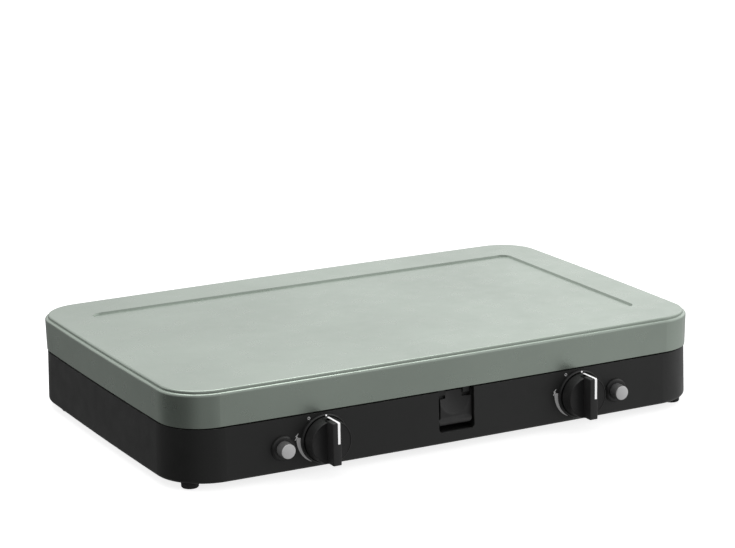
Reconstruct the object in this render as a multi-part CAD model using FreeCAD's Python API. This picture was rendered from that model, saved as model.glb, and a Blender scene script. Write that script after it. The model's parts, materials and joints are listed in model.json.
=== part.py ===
import FreeCAD, Part
import os
from math import atan, cos, pi, radians, sin, sqrt

# Two-burner gas camping stove with a hinged lid, closed.
# Millimetres. +Z is up, +X is the user's right, -Y is the front with the knobs.
# The origin is on the ground under the middle of the base.

V = FreeCAD.Vector
SIDES = {"left": -1, "right": 1}

# Overall size
BASE_WIDTH = 540.0
BASE_DEPTH = 342.0
BASE_CORNER = 46.0
FOOT_HEIGHT = 6.0
BASE_TOP = 55.0
LID_BOTTOM = 56.2
LID_TOP = 89.0
SIDE_BOW = 2.0              # outward bow of the long sides at their middle
REACH = 197.5               # knob fronts and hose nozzle reach this far from the middle

# Base tub
TUB_SKIN = 1.2
TUB_DRAFT = 1.0
TUB_BOTTOM_ROUND = 3.5
FLANGE_WIDTH = 11.0
FLANGE_SKIN = 1.2

# Lid
LID_SKIN = 1.0
LID_INSET = 1.7
LID_FLARE = 0.8             # how far the lid's wall leans out towards its top
LID_CORNER = 40.0
SHOULDER_TOP = 86.4
SHOULDER_ROUND = 2.2
PLATEAU_INSET = 3.4
PLATEAU_ROUND = 1.6
PANEL_X = 229.0
PANEL_FRONT = -118.0
PANEL_BACK = 123.0
PANEL_CORNER = 9.0
PANEL_DEPTH = 1.6
PANEL_SLOPE = 0.8

# Hob plate
HOB_SKIN = 1.0
HOB_INSET = 8.6
HOB_FLOOR = 49.0
WELL_FLOOR = 41.0
WELL_TOP_RADIUS = 88.0
WELL_FLOOR_RADIUS = 78.0

# Controls on the front
FRONT_Y = -171.6            # front face where the knobs sit
KNOB_X = 131.0
KNOB_Z = 31.3
KNOB_RADIUS = 20.3
KNOB_FACE_RADIUS = 19.3
KNOB_BACK = 3.7             # gap behind the knob, room for its push
KNOB_FACE = 15.6
GRIP_WIDTH = 8.6
GRIP_TOP = 20.2              # the pointer end of the grip bar stands out further
GRIP_BOTTOM = 18.4
BEZEL_RADIUS = 22.4
BEZEL_BORE = 20.8
BEZEL_HEIGHT = 3.4
STEM_RADIUS = 4.0
RUNNING_GAP = 0.06
BODY_GAP = 0.3
BUTTON_X = 170.7
BUTTON_Z = 28.4
BUTTON_RADIUS = 7.2
BUTTON_REACH = 11.8
COLLAR_RADIUS = 11.0
COLLAR_HEIGHT = 2.4

# Latch in the middle of the front
LATCH_X = 1.8
LATCH_HALF = 18.2
CATCH_X = 12.6               # each tab, off the latch's middle
LATCH_BOTTOM = 17.0
LATCH_PIVOT_Y = -159.0
LATCH_PIVOT_Z = 45.5
LATCH_PIN_RADIUS = 1.5

# Burners and gas train
BURNER_X = 131.0
BURNER_Y = 6.0
BURNER_RADIUS = 40.0
STEM_BOTTOM = 38.6          # where the burner meets its mixing tube
VALVE_BACK = -130.0
TUBE_RADIUS = 7.5
MANIFOLD_Y = -144.0
MANIFOLD_Z = 14.5
MANIFOLD_RADIUS = 4.5
INLET_X = 205.0

# Hinges at the back
HINGE_X = 165.0
HINGE_Y = 177.0
HINGE_Z = 56.0
KNUCKLE_RADIUS = 4.5
HINGE_PIN_RADIUS = 2.0
HINGE_WIDTH = 48.0


def box(x0, x1, y0, y1, z0, z1):
    return Part.makeBox(x1 - x0, y1 - y0, z1 - z0, V(x0, y0, z0))


def rod(radius, start, end):
    line = V(*end) - V(*start)
    return Part.makeCylinder(radius, line.Length, V(*start), line)


def rod_y(x, z, radius, y0, y1):
    return rod(radius, (x, y0, z), (x, y1, z))


def rod_z(x, y, radius, z0, z1):
    return rod(radius, (x, y, z0), (x, y, z1))


def joined(shapes):
    whole = shapes[0].fuse(shapes[1:]) if len(shapes) > 1 else shapes[0]
    return whole.removeSplitter()


def outline(inset, z, corner):
    """Closed rounded rectangle with gently bowed sides, smooth all the way round."""
    half_x = BASE_WIDTH / 2 - inset
    half_y = BASE_DEPTH / 2 - inset
    run_x = half_x - corner
    run_y = half_y - corner
    bow_y = SIDE_BOW
    bow_x = SIDE_BOW * run_y / run_x
    lean = 2 * atan(bow_y / run_x)
    half_turn = (pi / 2 - 2 * lean) / 2
    radius = corner * sqrt(2) / (2 * sin(half_turn))
    rise = radius * (1 - cos(half_turn)) / sqrt(2)
    edges = []
    ends = [(-run_x, -half_y), (run_x, -half_y), (half_x, -run_y), (half_x, run_y),
            (run_x, half_y), (-run_x, half_y), (-half_x, run_y), (-half_x, -run_y)]
    side_middles = [(0, -half_y - bow_y), (half_x + bow_x, 0), (0, half_y + bow_y), (-half_x - bow_x, 0)]
    signs = [(1, -1), (1, 1), (-1, 1), (-1, -1)]
    for index in range(4):
        first = ends[2 * index]
        second = ends[2 * index + 1]
        third = ends[(2 * index + 2) % 8]
        sx, sy = signs[index]
        corner_middle = ((second[0] + third[0]) / 2 + sx * rise, (second[1] + third[1]) / 2 + sy * rise)
        edges.append(arc(first, side_middles[index], second, z))
        edges.append(arc(second, corner_middle, third, z))
    return Part.Wire(edges)


def arc(start, middle, end, z):
    points = [V(p[0], p[1], z) for p in (start, middle, end)]
    return Part.Arc(*points).toShape()


def block(inset0, z0, inset1, z1, corner):
    """Solid between two outlines, for drafted walls."""
    lower = outline(inset0, z0, corner - inset0)
    upper = outline(inset1, z1, corner - inset1)
    return Part.makeLoft([lower, upper], True, True)


def flat_edges(shape, z):
    return [e for e in shape.Edges if all(abs(v.Z - z) < 0.01 for v in e.Vertexes)]


def plain_rect(x0, x1, y0, y1, radius, z):
    """Closed rounded rectangle with straight sides."""
    k = radius * (1 - sqrt(0.5))
    edges = []
    corners = [(x1, y0, -1, 1), (x1, y1, -1, -1), (x0, y1, 1, -1), (x0, y0, 1, 1)]
    ends = []
    for number, (x, y, dx, dy) in enumerate(corners):
        along_x = (x + dx * radius, y)
        along_y = (x, y + dy * radius)
        pair = (along_x, along_y) if number % 2 == 0 else (along_y, along_x)
        ends.append((pair[0], (x + dx * k, y + dy * k), pair[1]))
    for number, (start, middle, end) in enumerate(ends):
        edges.append(arc(start, middle, end, z))
        following = ends[(number + 1) % 4][0]
        edges.append(Part.LineSegment(V(end[0], end[1], z), V(following[0], following[1], z)).toShape())
    return Part.Wire(edges)


def rect_block(x0, x1, y0, y1, radius, z0, z1, spread=0.0):
    """Rounded rectangular block that grows by spread on every side from z0 to z1."""
    lower = plain_rect(x0, x1, y0, y1, radius, z0)
    upper = plain_rect(x0 - spread, x1 + spread, y0 - spread, y1 + spread, radius + spread, z1)
    return Part.makeLoft([lower, upper], True, True)


def spun(points, centre, axis):
    """Solid of revolution. Points are (radius, height along the axis)."""
    ring = [V(r, 0, h) for r, h in points]
    face = Part.Face(Part.makePolygon(ring + [ring[0]]))
    solid = face.revolve(V(0, 0, 0), V(0, 0, 1), 360)
    turn = FreeCAD.Rotation(V(0, 0, 1), V(*axis))
    solid.Placement = FreeCAD.Placement(V(*centre), turn)
    return solid


def hexagon_y(x, z, across_flats, y0, y1):
    radius = across_flats / sqrt(3)
    points = [V(x + radius * cos(radians(60 * i)), y0, z + radius * sin(radians(60 * i))) for i in range(7)]
    return Part.Face(Part.makePolygon(points)).extrude(V(0, y1 - y0, 0))


def bent_rod(points, radius, bend):
    """Round bar along straight runs joined by tangent arcs."""
    route = [V(*p) for p in points]
    edges = []
    start = route[0]
    for before, here, after in zip(route, route[1:], route[2:]):
        into = (here - before).normalize()
        away = (after - here).normalize()
        half = into.getAngle(away) / 2
        cut = bend * sin(half) / cos(half)
        first = here - into * cut
        last = here + away * cut
        inward = (away - into).normalize()
        middle = here + inward * (bend / cos(half) - bend)
        edges.append(Part.LineSegment(start, first).toShape())
        edges.append(Part.Arc(first, middle, last).toShape())
        start = last
    edges.append(Part.LineSegment(start, route[-1]).toShape())
    wire = Part.Wire(edges)
    lead = (route[1] - route[0]).normalize()
    profile = Part.Wire(Part.makeCircle(radius, route[0], lead))
    return wire.makePipeShell([profile], True, False)


# Base ---------------------------------------------------------------------------------------

def tub_outer():
    body = block(0, FOOT_HEIGHT, TUB_DRAFT, BASE_TOP, BASE_CORNER)
    return body.makeFillet(TUB_BOTTOM_ROUND, flat_edges(body, FOOT_HEIGHT))


def tub_front(x):
    """The stretch of the tub's outer form behind one control."""
    return tub_outer().common(box(x - 30, x + 30, -180, -150, 0, 60))


def tub_inner():
    floor = FOOT_HEIGHT + TUB_SKIN
    body = block(TUB_SKIN, floor, TUB_DRAFT + TUB_SKIN, BASE_TOP, BASE_CORNER)
    body = body.makeFillet(TUB_BOTTOM_ROUND - TUB_SKIN, flat_edges(body, floor))
    below_flange = box(-BASE_WIDTH, BASE_WIDTH, -BASE_DEPTH, BASE_DEPTH, 0, BASE_TOP - FLANGE_SKIN)
    return body.common(below_flange)


def foot_places():
    return [(sx * x, y) for x, y in ((249.0, -148.0), (255.0, 117.0)) for sx in (-1, 1)]


def hob_screw_places():
    half_y = BASE_DEPTH / 2 - 9.8
    half_x = BASE_WIDTH / 2 - 9.8
    return [(sx * 170.0, sy * half_y) for sx in (-1, 1) for sy in (-1, 1)] + [(-half_x, 0.0), (half_x, 0.0)]


def at_latch(shape):
    shape.translate(V(LATCH_X, 0, 0))
    return shape


def latch_opening():
    opening = rect_block(-LATCH_HALF, LATCH_HALF, LATCH_BOTTOM, BASE_TOP + 20, 4.0, 0, 30)
    opening.rotate(V(0, 0, 0), V(1, 0, 0), 90)
    opening.translate(V(0, -150, 0))
    return at_latch(opening)


def vent_slots():
    slots = []
    for sx in (-1, 1):
        for row in range(6):
            y = -70 + 28 * row
            slots.append(rect_block(sx * BURNER_X - 32, sx * BURNER_X + 32, y, y + 6, 2.9, 0, 15))
    return slots


def base_tub():
    window = block(FLANGE_WIDTH, 40, FLANGE_WIDTH, 60, BASE_CORNER)
    tub = tub_outer().cut(tub_inner()).cut(window)
    cuts = [latch_opening(), rod_y(INLET_X, MANIFOLD_Z + 4, 6.5, 150, 180)]
    cuts.append(box(-21.5, 21.5, -168, -150, 50, 60))
    for sx in SIDES.values():
        cuts.append(rod_y(sx * KNOB_X, KNOB_Z, 7.5, -180, -160))
        cuts.append(rod_y(sx * BUTTON_X, BUTTON_Z, 9.4, -180, -160))
    cuts += [rod_z(x, y, 1.5, 0, 12) for x, y in foot_places()]
    cuts += [rod_z(x, y, 1.5, 50, 60) for x, y in hob_screw_places()]
    return tub.cut(cuts + vent_slots())


def foot(x, y):
    points = [(1.5, 0), (6.9, 0), (7.7, 0.9), (8.0, FOOT_HEIGHT), (1.5, FOOT_HEIGHT)]
    body = spun(points, (x, y, 0), (0, 0, 1))
    return body.cut(rod_z(x, y, 3.2, 0, 2.6))


def foot_screws():
    screws = []
    for x, y in foot_places():
        screws.append(joined([rod_z(x, y, 2.9, 0.8, 2.6), rod_z(x, y, 1.5, 2.6, 10.5)]))
    return Part.makeCompound(screws)


def lid_pads():
    pads = []
    for sx in (-1, 1):
        for sy in (-1, 1):
            x = sx * (BASE_WIDTH / 2 - 3.4)
            pads.append(box(x - 1.6, x + 1.6, sy * 70 - 14, sy * 70 + 14, BASE_TOP, BASE_TOP + 0.9))
    return Part.makeCompound(pads)


# Hob plate and pan supports ------------------------------------------------------------------

def wells(margin, floor, top):
    return [Part.makeCone(WELL_FLOOR_RADIUS + margin, WELL_TOP_RADIUS + margin, top - floor,
                          V(sx * BURNER_X, BURNER_Y, floor)) for sx in SIDES.values()]


def hob_plate():
    rim = block(HOB_INSET, BASE_TOP, HOB_INSET, BASE_TOP + HOB_SKIN, BASE_CORNER)
    dish_top = BASE_TOP + HOB_SKIN
    dish_low = HOB_FLOOR + HOB_SKIN
    outer_dish = block(21.0 - HOB_SKIN, HOB_FLOOR, 17.0 - HOB_SKIN, BASE_TOP, BASE_CORNER + 2)
    inner_dish = block(21.0, dish_low, 17.0, dish_top, BASE_CORNER + 2)
    plate = rim.fuse([outer_dish] + wells(HOB_SKIN, WELL_FLOOR - HOB_SKIN, HOB_FLOOR))
    plate = plate.cut([inner_dish] + wells(0, WELL_FLOOR, dish_low))
    cuts = [box(-23, 23, -180, -161, 40, 60)]
    cuts += [rod_z(x, y, 1.5, 50, 60) for x, y in hob_screw_places()]
    for sx in SIDES.values():
        cuts.append(rod_z(sx * BURNER_X, BURNER_Y, 11.0, 35, 60))
        cuts += [rod_z(x, y, 1.5, 35, 60) for x, y in burner_screw_places(sx)]
        cuts.append(rod_z(*electrode_place(sx), 3.2, 35, 60))
        cuts.append(rod_z(*thermocouple_place(sx), 2.6, 35, 60))
    return plate.cut(cuts).removeSplitter()


def hob_screws():
    screws = []
    for x, y in hob_screw_places():
        head = Part.makeSphere(4.2, V(x, y, BASE_TOP + HOB_SKIN - 2.2))
        head = head.common(rod_z(x, y, 3.4, BASE_TOP + HOB_SKIN, BASE_TOP + 10))
        shank = rod_z(x, y, 1.5, BASE_TOP - 5, BASE_TOP + HOB_SKIN)
        screws.append(joined([head, shank]))
    return Part.makeCompound(screws)


def pan_support(side):
    radius = 2.5
    low = HOB_FLOOR + HOB_SKIN + radius + BODY_GAP
    high = 71.5
    half_x = 106.0
    half_y = 128.0
    cx = side * BURNER_X
    frame_route = [(cx, -half_y), (cx + half_x, -half_y), (cx + half_x, half_y),
                   (cx - half_x, half_y), (cx - half_x, -half_y), (cx, -half_y)]
    frame = bent_rod([(x, y + BURNER_Y - 6, low) for x, y in frame_route], radius, 16.0)
    bars = [frame]
    reach = 26.0
    for x_out, x_in, y in [(half_x, reach, 0.0), (-half_x, -reach, 0.0)]:
        bars.append(bent_rod([(cx + x_out, BURNER_Y + y, low), (cx + x_out, BURNER_Y + y, high),
                              (cx + x_in, BURNER_Y + y, high)], radius, 7.0))
    for y_out, y_in in [(half_y, BURNER_Y + reach), (-half_y, BURNER_Y - reach)]:
        bars.append(bent_rod([(cx, y_out, low), (cx, y_out, high), (cx, y_in, high)], radius, 7.0))
    bars += [Part.makeSphere(radius, V(cx + sx * reach, BURNER_Y, high)) for sx in (-1, 1)]
    bars += [Part.makeSphere(radius, V(cx, BURNER_Y + sy * reach, high)) for sy in (-1, 1)]
    return joined(bars)


# Burners ------------------------------------------------------------------------------------

def burner_screw_places(side):
    angles = (90, 210, 330)
    return [(side * BURNER_X + 20 * cos(radians(a)), BURNER_Y + 20 * sin(radians(a))) for a in angles]


def electrode_place(side):
    return (side * (BURNER_X + 36), BURNER_Y - 34)


def thermocouple_place(side):
    return (side * (BURNER_X - 36), BURNER_Y - 34)


def burner_base(side):
    """Cast bowl on a flange that is screwed to the well floor."""
    points = [(8, STEM_BOTTOM), (11, STEM_BOTTOM), (11, WELL_FLOOR), (25, WELL_FLOOR),
              (25, WELL_FLOOR + 3.0), (14, WELL_FLOOR + 3.0), (BURNER_RADIUS, 53.0), (BURNER_RADIUS, 56.0),
              (BURNER_RADIUS - 4, 56.0), (BURNER_RADIUS - 4, 54.0), (10, 46.0), (8, 44.0)]
    bowl = spun(points, (side * BURNER_X, BURNER_Y, 0), (0, 0, 1))
    return bowl.cut([rod_z(x, y, 1.5, 35, 50) for x, y in burner_screw_places(side)])


def burner_head(side):
    """Flame ring with a port every ten degrees."""
    points = [(30, 56.0), (BURNER_RADIUS, 56.0), (BURNER_RADIUS - 2, 61.0), (30, 61.0)]
    ring = spun(points, (side * BURNER_X, BURNER_Y, 0), (0, 0, 1))
    ports = []
    for number in range(36):
        port = box(28, 42, -0.7, 0.7, 57.5, 60.0)
        port.rotate(V(0, 0, 0), V(0, 0, 1), 10 * number)
        port.translate(V(side * BURNER_X, BURNER_Y, 0))
        ports.append(port)
    return ring.cut(ports)


def burner_cap(side):
    points = [(0, 58.0), (29.5, 58.0), (29.5, 61.0), (37.5, 61.0), (37.5, 62.5), (35, 64.0), (0, 65.0)]
    return spun(points, (side * BURNER_X, BURNER_Y, 0), (0, 0, 1))


def burner_screws(side):
    screws = []
    for x, y in burner_screw_places(side):
        head = rod_z(x, y, 2.8, WELL_FLOOR + 3.0, WELL_FLOOR + 3.9)
        shank = rod_z(x, y, 1.5, WELL_FLOOR - 3, WELL_FLOOR + 3.0)
        screws.append(joined([head, shank]))
    return screws


def spark_insulator(side):
    x, y = electrode_place(side)
    top = 54.0
    points = [(0.8, 30.0), (3.2, 30.0), (3.2, WELL_FLOOR), (4.6, WELL_FLOOR),
              (4.6, WELL_FLOOR + 2.5), (3.2, WELL_FLOOR + 3.5), (3.2, top - 1), (2.4, top), (0.8, top)]
    return spun(points, (x, y, 0), (0, 0, 1))


def spark_electrode(side):
    x, y = electrode_place(side)
    return bent_rod([(x, y, 26.0), (x, y, 60.5), (x - side * 5.0, y + 4.0, 60.5)], 0.8, 2.0)


def thermocouple(side):
    """Probe beside the burner with its lead, which runs back to the valve."""
    x, y = thermocouple_place(side)
    points = [(0, 28.0), (2.6, 28.0), (2.6, WELL_FLOOR), (4.6, WELL_FLOOR), (4.6, WELL_FLOOR + 3),
              (2.4, WELL_FLOOR + 3), (2.4, 58.0), (1.4, 61.0), (0, 61.0)]
    probe = spun(points, (x, y, 0), (0, 0, 1))
    lead_x = side * (KNOB_X - 8.0)
    lead_z = KNOB_Z + 7
    lead = bent_rod([(lead_x, VALVE_BACK, lead_z), (lead_x, -116.0, lead_z), (x, -96.0, 26.0),
                     (x, y - 16, 18.0), (x, y, 17.0), (x, y, 29.0)], 0.9, 4.0)
    return joined([probe, lead])


# Gas train ----------------------------------------------------------------------------------

def valve_body(side):
    x = side * KNOB_X
    bulk = box(x - 12, x + 12, -166, VALVE_BACK, KNOB_Z - 10, KNOB_Z + 11)
    neck = rod_y(x, KNOB_Z, 7.5, -175, -166)
    outlet = rod_y(x, KNOB_Z, 6.0, VALVE_BACK, VALVE_BACK + 4)
    saddle = rod_z(x, MANIFOLD_Y, 6.0, MANIFOLD_Z, KNOB_Z - 9)
    body = joined([bulk, neck, outlet, saddle])
    bore = rod_y(x, KNOB_Z, STEM_RADIUS + RUNNING_GAP, -180, -150)
    chamber = rod_y(x, KNOB_Z, 6.0 + RUNNING_GAP, -153, -134)
    gallery = rod_y(x, KNOB_Z, 1.5, -134, -120)
    feed = rod_z(x, MANIFOLD_Y, 2.0, MANIFOLD_Z, KNOB_Z)
    rail = rod(MANIFOLD_RADIUS, (-BASE_WIDTH, MANIFOLD_Y, MANIFOLD_Z), (BASE_WIDTH, MANIFOLD_Y, MANIFOLD_Z))
    return body.cut([bore, chamber, gallery, feed, rail])


def valve_nut(side):
    x = side * KNOB_X
    nut = hexagon_y(x, KNOB_Z, 19.0, -174.6, -168)
    return nut.cut([rod_y(x, KNOB_Z, 7.5, -180, -160), tub_front(x)])


def valve_plunger(side):
    return rod_y(side * KNOB_X, KNOB_Z, 6.0, -147.6, -138)


def valve_stem(side):
    x = side * KNOB_X
    shaft = rod_y(x, KNOB_Z, STEM_RADIUS, -189, -148)
    shoulder = rod_y(x, KNOB_Z, 5.6, -151, -148)
    flat = box(x - 5, x + 5, -190, -180, KNOB_Z + 2.8, KNOB_Z + 6)
    return joined([shaft, shoulder]).cut(flat)


def injector(side):
    x = side * KNOB_X
    start = VALVE_BACK + 4
    hexagon = hexagon_y(x, KNOB_Z, 9.0, start, start + 5)
    nose = Part.makeCone(3.5, 2.2, 7, V(x, start + 5, KNOB_Z), V(0, 1, 0))
    return joined([hexagon, nose]).cut(rod_y(x, KNOB_Z, 0.6, start - 1, start + 20))


def mixing_tube(side):
    """Tube from the jet to the underside of the burner, with air holes by the jet."""
    x = side * KNOB_X
    start = VALVE_BACK + 11
    z = KNOB_Z - 0.8
    outer = joined([rod_y(x, z, TUBE_RADIUS, start, BURNER_Y), rod_z(x, BURNER_Y, 10.5, z - 8, STEM_BOTTOM),
                    rod_y(x, z, TUBE_RADIUS + 1.5, start, start + 4)])
    inner = joined([rod_y(x, z, TUBE_RADIUS - 1.5, start - 1, BURNER_Y),
                    rod_z(x, BURNER_Y, 8.0, z - 6, STEM_BOTTOM)])
    air = rod(3.0, (x - 12, start + 14, z), (x + 12, start + 14, z))
    return outer.cut([inner, air])


def gas_manifold():
    """Pipe from the inlet fitting across the front under both valves."""
    route = [(-KNOB_X - 16, MANIFOLD_Y, MANIFOLD_Z), (INLET_X, MANIFOLD_Y, MANIFOLD_Z),
             (INLET_X, MANIFOLD_Y + 50, MANIFOLD_Z + 4), (INLET_X, 158, MANIFOLD_Z + 4)]
    pipe = bent_rod(route, MANIFOLD_RADIUS, 18.0)
    bore = bent_rod([(-KNOB_X - 13, MANIFOLD_Y, MANIFOLD_Z)] + route[1:], MANIFOLD_RADIUS - 1.0, 18.0)
    feeds = [rod_z(sx * KNOB_X, MANIFOLD_Y, 2.0, MANIFOLD_Z, MANIFOLD_Z + 8) for sx in SIDES.values()]
    return pipe.cut([bore] + feeds)


def hose_nozzle():
    """Bulkhead fitting with a barbed nozzle for the gas hose."""
    z = MANIFOLD_Z + 4
    points = [(2.2, 158), (6.5, 158), (6.5, 170.2), (4.5, 176), (4.5, 190.5), (3.9, 191.0), (3.9, 192.2),
              (4.3, 193.2), (3.4, REACH), (2.2, REACH)]
    shank = spun(points, (INLET_X, 0, z), (0, 1, 0))
    flange = hexagon_y(INLET_X, z, 17.0, 170.2, 177.0).cut(tub_outer())
    return joined([shank, flange]).cut(rod_y(INLET_X, z, 2.2, 150, 200))


def inlet_nut():
    z = MANIFOLD_Z + 4
    nut = hexagon_y(INLET_X, z, 19.0, 164.0, 171.0)
    return nut.common(tub_inner()).cut(rod_y(INLET_X, z, 6.5, 150, 180))


def ignition_lead(side):
    x, y = electrode_place(side)
    start = (side * BUTTON_X, -124.0, BUTTON_Z)
    middle = [(side * BUTTON_X, -96.0, BUTTON_Z), (x, -66.0, 24.0), (x, y - 14, 18.0), (x, y, 16.0),
              (x, y, 26.0)]
    return bent_rod([start] + middle, 1.3, 4.0)


# Knobs and igniters --------------------------------------------------------------------------

def knob(side):
    """Hollow moulded knob with a full-width grip bar."""
    x = side * KNOB_X
    back = FRONT_Y - KNOB_BACK
    face = FRONT_Y - KNOB_FACE
    depth = back - face
    points = [(0, 0), (KNOB_RADIUS, 0), (KNOB_RADIUS, 1.6), (KNOB_RADIUS - 0.6, 2.4),
              (KNOB_FACE_RADIUS, depth - 0.8), (KNOB_FACE_RADIUS - 0.8, depth), (0, depth)]
    disc = spun(points, (x, back, KNOB_Z), (0, -1, 0))
    half = GRIP_WIDTH / 2
    bar = box(x - half, x + half, -REACH, back - 0.6, KNOB_Z - GRIP_BOTTOM, KNOB_Z + GRIP_TOP)
    rounded = [e for e in bar.Edges if e.BoundBox.YMax < -REACH + 0.1 or e.BoundBox.YLength > 10]
    bar = bar.makeFillet(1.4, rounded).common(rod_y(x, KNOB_Z, KNOB_RADIUS, -200, -170))
    cavity = rod_y(x, KNOB_Z, 17.0, back - 6.0, back + 1).cut(rod_y(x, KNOB_Z, 7.0, back - 7, back - 3.6))
    bore = rod_y(x, KNOB_Z, STEM_RADIUS, -189, back + 1)
    bore = bore.cut(box(x - 5, x + 5, -190, -180, KNOB_Z + 2.8, KNOB_Z + 6))
    return joined([disc, bar]).cut([cavity, bore])


def knob_bezel(side):
    x = side * KNOB_X
    height = BEZEL_HEIGHT
    points = [(BEZEL_BORE, -4), (BEZEL_RADIUS, -4), (BEZEL_RADIUS, height - 1.0),
              (BEZEL_RADIUS - 0.8, height), (BEZEL_BORE + 0.3, height), (BEZEL_BORE, height - 0.3)]
    ring = spun(points, (x, FRONT_Y, KNOB_Z), (0, -1, 0))
    return ring.cut(tub_front(x))


def igniter_body(side):
    x = side * BUTTON_X
    body = joined([rod_y(x, BUTTON_Z, 9.4, -172.5, -150), rod_y(x, BUTTON_Z, 8.8, -150, -124)])
    bore = rod_y(x, BUTTON_Z, BUTTON_RADIUS + BODY_GAP, -180, -150)
    return body.cut(bore)


def igniter_collar(side):
    x = side * BUTTON_X
    bore = BUTTON_RADIUS + BODY_GAP
    points = [(bore, -4), (COLLAR_RADIUS, -4), (COLLAR_RADIUS, 1.2), (COLLAR_RADIUS - 1.2, COLLAR_HEIGHT),
              (bore, COLLAR_HEIGHT)]
    ring = spun(points, (x, FRONT_Y, BUTTON_Z), (0, -1, 0))
    return ring.cut([tub_front(x), rod_y(x, BUTTON_Z, 9.4, -172.5, -150)])


def igniter_nut(side):
    x = side * BUTTON_X
    nut = hexagon_y(x, BUTTON_Z, 24.0, -171, -164)
    return nut.common(tub_inner()).cut(rod_y(x, BUTTON_Z, 9.4, -180, -150))


def igniter_button(side):
    x = side * BUTTON_X
    front = FRONT_Y - BUTTON_REACH
    length = -156.0 - front
    points = [(0, 0), (BUTTON_RADIUS, 0), (BUTTON_RADIUS, length - 0.8), (BUTTON_RADIUS - 0.8, length),
              (0, length)]
    return spun(points, (x, -156.0, BUTTON_Z), (0, -1, 0))


# Latch --------------------------------------------------------------------------------------

def latch_housing():
    """Pocket behind the opening in the front; its cheeks carry the pin."""
    wall = 1.8
    outer = box(-LATCH_HALF - wall, LATCH_HALF + wall, -175, -149, LATCH_BOTTOM - wall, 53.0)
    inner = box(-LATCH_HALF, LATCH_HALF, -180, -151, LATCH_BOTTOM, 60)
    pin = rod(LATCH_PIN_RADIUS, (-30, LATCH_PIVOT_Y, LATCH_PIVOT_Z), (30, LATCH_PIVOT_Y, LATCH_PIVOT_Z))
    under_dish = box(-30, 30, -157.5, -140, 48.4, 60)
    return at_latch(outer.cut([inner, pin, under_dish])).common(tub_inner())


def latch_pin():
    half = LATCH_HALF + 1.8
    ends = [(sx * half, LATCH_PIVOT_Y, LATCH_PIVOT_Z) for sx in (-1, 1)]
    return at_latch(rod(LATCH_PIN_RADIUS, *ends))


def latch_lever():
    """Finger lever: pivot boss, scooped plate and a lip at the bottom."""
    half = LATCH_HALF - 0.9
    profile = [(-168.8, 53.0), (-161.8, 53.0), (-161.8, 49.6), (-156.4, 48.4), (-155.8, 42.6), (-160.6, 42.0),
               (-164.8, 38.0), (-164.8, 27.5), (-163.4, 21.6), (-168.0, 20.6), (-172.4, 22.6), (-172.8, 25.4),
               (-170.6, 27.6), (-168.8, 30.0)]
    points = [V(-half, y, z) for y, z in profile]
    plate = Part.Face(Part.makePolygon(points + [points[0]])).extrude(V(2 * half, 0, 0))
    scoop = Part.makeSphere(24.0, V(0, -189.0, 42.0))
    notches = [box(sx * CATCH_X - 4.2, sx * CATCH_X + 4.2, -170, -164.0, 46.4, 54) for sx in (-1, 1)]
    bore = rod(LATCH_PIN_RADIUS + RUNNING_GAP, (-30, LATCH_PIVOT_Y, LATCH_PIVOT_Z),
               (30, LATCH_PIVOT_Y, LATCH_PIVOT_Z))
    spring_room = box(-7, 7, -162.4, -150, 40, 54)
    return at_latch(plate.cut([scoop, bore, spring_room] + notches))


def latch_spring():
    """Torsion spring on the latch pin."""
    wire = 0.45
    coil = Part.makeHelix(1.6, 9.6, 2.6)
    profile = Part.Wire(Part.makeCircle(wire, V(2.6, 0, 0), V(0, 1, 0)))
    spring = Part.Wire(coil).makePipeShell([profile], True, True)
    spring.rotate(V(0, 0, 0), V(0, 1, 0), 90)
    spring.translate(V(-4.8, LATCH_PIVOT_Y, LATCH_PIVOT_Z))
    return at_latch(spring)


# Lid ----------------------------------------------------------------------------------------

def lid_outer():
    wall = block(LID_INSET, LID_BOTTOM, LID_INSET - LID_FLARE, SHOULDER_TOP, LID_CORNER + LID_INSET)
    wall = wall.makeFillet(SHOULDER_ROUND, flat_edges(wall, SHOULDER_TOP))
    crown = block(PLATEAU_INSET, SHOULDER_TOP - 4, PLATEAU_INSET + 0.6, LID_TOP, LID_CORNER + LID_INSET)
    crown = crown.makeFillet(PLATEAU_ROUND, flat_edges(crown, LID_TOP))
    return wall.fuse(crown)


def lid_inside():
    skin = LID_SKIN
    return block(LID_INSET + skin, LID_BOTTOM, LID_INSET - LID_FLARE + skin, SHOULDER_TOP - skin,
                 LID_CORNER + LID_INSET)


def panel_block(z0, z1, margin=0.0):
    return rect_block(-PANEL_X - margin, PANEL_X + margin, PANEL_FRONT - margin, PANEL_BACK + margin,
                      PANEL_CORNER + margin, z0, z1)


def lid_shell():
    skin = LID_SKIN
    crown = block(PLATEAU_INSET + skin, SHOULDER_TOP - 6, PLATEAU_INSET + 0.6 + skin, LID_TOP - skin,
                  LID_CORNER + LID_INSET)
    crown = crown.cut(panel_block(LID_TOP - skin - PANEL_DEPTH, LID_TOP, skin))
    recess = rect_block(-PANEL_X + PANEL_SLOPE, PANEL_X - PANEL_SLOPE, PANEL_FRONT + PANEL_SLOPE,
                        PANEL_BACK - PANEL_SLOPE, PANEL_CORNER, LID_TOP - PANEL_DEPTH, LID_TOP, PANEL_SLOPE)
    return lid_outer().cut([lid_inside(), crown, recess]).removeSplitter()


def lid_catch():
    """Bent strip welded inside the lid front, with two hooked tabs for the latch."""
    strip = box(LATCH_X - 19, LATCH_X + 19, -175, -168.6, 62.0, 76.0).common(lid_inside())
    parts = [strip]
    for sx in (-1, 1):
        x0 = LATCH_X + sx * CATCH_X - 3.4
        x1 = x0 + 6.8
        parts.append(box(x0, x1, -169.0, -165.9, 62.6, 64.0))
        parts.append(box(x0, x1, -167.3, -165.9, 50.0, 64.0))
        parts.append(box(x0, x1, -165.9, -164.4, 50.0, 51.4))
    return joined(parts)


# Hinges -------------------------------------------------------------------------------------

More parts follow.
